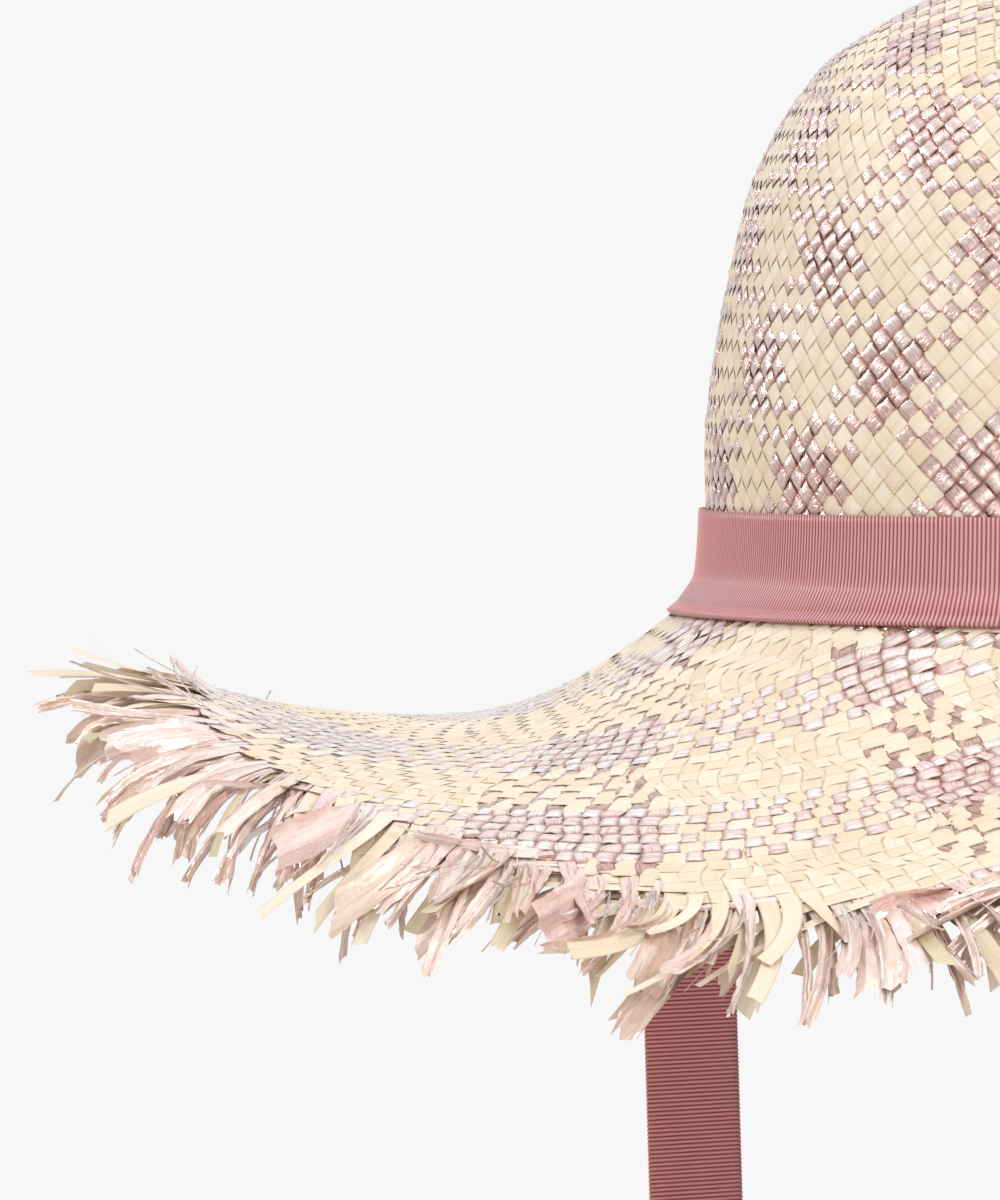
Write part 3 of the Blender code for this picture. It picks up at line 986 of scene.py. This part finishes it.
# Tones of the foil, from strip to strip
FOIL_TONES = [(0.0, linear(242, 212, 203)), (0.25, linear(249, 224, 216)), (0.5, linear(254, 238, 232))]
# The brim's foil: whiter tones of the same foil, painted light for its facing up to the bright side
LIT_BRIM_FOIL_TONES = [(0.0, linear(246, 222, 213)), (0.25, linear(252, 237, 230)), (0.5, linear(255, 249, 245))]
# Painted shade of the foil: in its creases, along its edges, and where it dips under other strips
FOIL_SHADE = (0.52, 0.34, 0.29, 1.0)
FOIL_EDGE_SHADE = (0.52, 0.35, 0.30, 1.0)
FOIL_DIP_SHADE = (0.56, 0.38, 0.33, 1.0)
# Tones of the freed foil, from strip to strip, with a tan at 0.47; from 0.5 up, painted shade for the ends below
# others
LOOSE_TONES = [(0.0, linear(246, 215, 205)), (0.22, linear(251, 231, 222)), (0.43, linear(254, 243, 236)),
               (0.47, linear(239, 212, 190)), (0.52, linear(248, 226, 214)), (1.0, linear(230, 204, 186))]
LOOSE_SHADE = (0.84, 0.70, 0.64, 1.0)
LOOSE_EDGE_SHADE = (0.92, 0.84, 0.80, 1.0)


def main():
    draw = np.random.default_rng(7)
    cream = cream_material()
    foil = foil_material("pink_foil", FOIL_TONES, 0.75, FOIL_SHADE, FOIL_EDGE_SHADE, FOIL_DIP_SHADE)
    # The same foil on the brim, less metallic and with whiter tones as painted light
    lit_brim_foil = foil_material("lit_brim_foil", LIT_BRIM_FOIL_TONES, 0.40, FOIL_SHADE, FOIL_EDGE_SHADE, FOIL_DIP_SHADE)
    loose_foil = foil_material("loose_foil", LOOSE_TONES, 0.30, LOOSE_SHADE, LOOSE_EDGE_SHADE, LOOSE_SHADE)
    crown_cream, crown_pink, brim_cream, brim_pink = (Piece() for _ in range(4))
    plait_crown(crown_cream, crown_pink, draw)
    loose = plait_brim(brim_cream, brim_pink, draw)
    fringe_cream, fringe_pink = Piece(), Piece()
    fray(loose, fringe_cream, fringe_pink, draw)
    made = crown_cream.build("crown_straw", cream, "straw")
    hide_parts("woven_body")
    crown_pink.build("crown_foil", foil, "foil")
    brim_cream.build("brim_straw", cream, "straw")
    brim_pink.build("brim_foil", lit_brim_foil, "foil")
    made = fringe_cream.build("fringe_straw", cream, "straw")
    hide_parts("brim_fringe")
    made = fringe_pink.build("fringe_foil", loose_foil, "foil")
    make_band(ribbon_material("rose_band", BAND_TONES))
    # The ties: the band's ribbon with darker tones, painted shade from the brim
    brim_shaded_rose = ribbon_material("rose_tie", TIE_SHADED_TONES)
    make_tie("tie_right", -1, brim_shaded_rose)
    make_tie("tie_left", 1, brim_shaded_rose)
    camera()
    floor()
    world_light()
    lamps()
    bpy.context.scene.view_settings.view_transform = 'Standard'


main()
